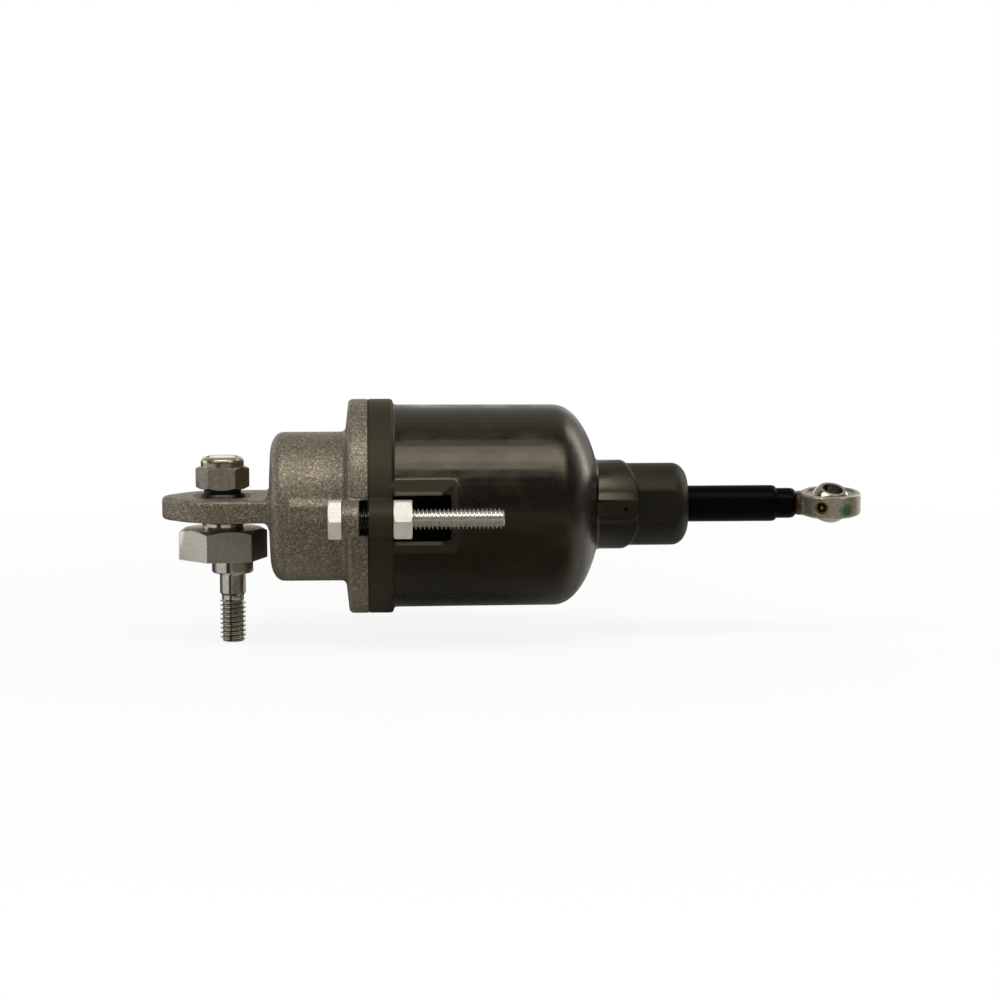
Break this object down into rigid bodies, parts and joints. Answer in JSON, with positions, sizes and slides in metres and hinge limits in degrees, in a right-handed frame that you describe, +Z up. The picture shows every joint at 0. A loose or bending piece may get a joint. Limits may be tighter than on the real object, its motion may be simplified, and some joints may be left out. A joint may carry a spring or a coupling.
{
  "type": "engine governor actuator",
  "caption": "Spring-return diaphragm actuator with a cast lug on an eccentric stud, a domed can, long flange bolts and a push rod that ends in a ball rod end.",
  "frame": {"origin": "on the axis of the mounting stud's shank, at the seat under its collar", "axes": "+X along the cylinder towards the rod end, +Z up along the stud towards the lock nut"},
  "size_m": [0.215, 0.0848, 0.0744],
  "materials": {
    "bright_steel": "bright plated steel",
    "black_steel": "black oxide steel",
    "nickel_steel": "warm nickel plate",
    "nylon": "natural nylon",
    "polished_steel": "polished bearing steel",
    "black_plastic": "black moulded plastic",
    "cast_aluminium": "blasted cast aluminium",
    "diaphragm_rubber": "fabric-backed rubber",
    "housing_plastic": "satin black-olive moulding",
    "zinc_steel": "bright zinc plate",
    "spring_steel": "oiled steel",
    "bronze": "plain bronze",
    "rod_black": "black satin coat",
    "dull_steel": "dull plated forging"
  },
  "bodies": {
    "stud": {"mounting_stud": "bright_steel", "spacer_washer": "black_steel", "stud_locknut": "nickel_steel", "locknut_insert": "nylon"},
    "lug_ball": {"lug_ball": "polished_steel"},
    "housing": {"end_cap": "cast_aluminium", "lug_race": "black_plastic", "diaphragm": "diaphragm_rubber", "body_housing": "housing_plastic", "flange_bolts": "zinc_steel", "flange_nuts": "zinc_steel", "return_spring": "spring_steel", "rod_bush": "bronze"},
    "rod": {"actuator_rod": "rod_black", "piston": "black_plastic", "diaphragm_plate": "spring_steel", "piston_screw": "zinc_steel", "rod_end_body": "dull_steel", "rod_end_race": "dull_steel", "rod_end_oiler": "bronze"},
    "eye_ball": {"rod_end_ball": "polished_steel"}
  },
  "joints": [
    {"name": "lug_spin", "type": "hinge", "parent": "stud", "child": "lug_ball", "pos_m": [-0.0028, 0, 0.0203], "axis": [0, 0, 1], "continuous": true},
    {"name": "lug_rock", "type": "hinge", "parent": "lug_ball", "child": "housing", "pos_m": [-0.0028, 0, 0.0203], "axis": [1, 0, 0], "range_deg": [-7, 7]},
    {"name": "rod_stroke", "type": "slide", "parent": "housing", "child": "rod", "axis": [1, 0, 0], "range_m": [0, 0.025], "stiffness_N_per_m": 1500, "springref_m": -0.02, "deforming": ["return_spring", "diaphragm"]},
    {"name": "eye_spin", "type": "hinge", "parent": "rod", "child": "eye_ball", "pos_m": [0.1842, 0, 0.0203], "axis": [0.1478, -0.3625, 0.9202], "continuous": true}
  ]
}
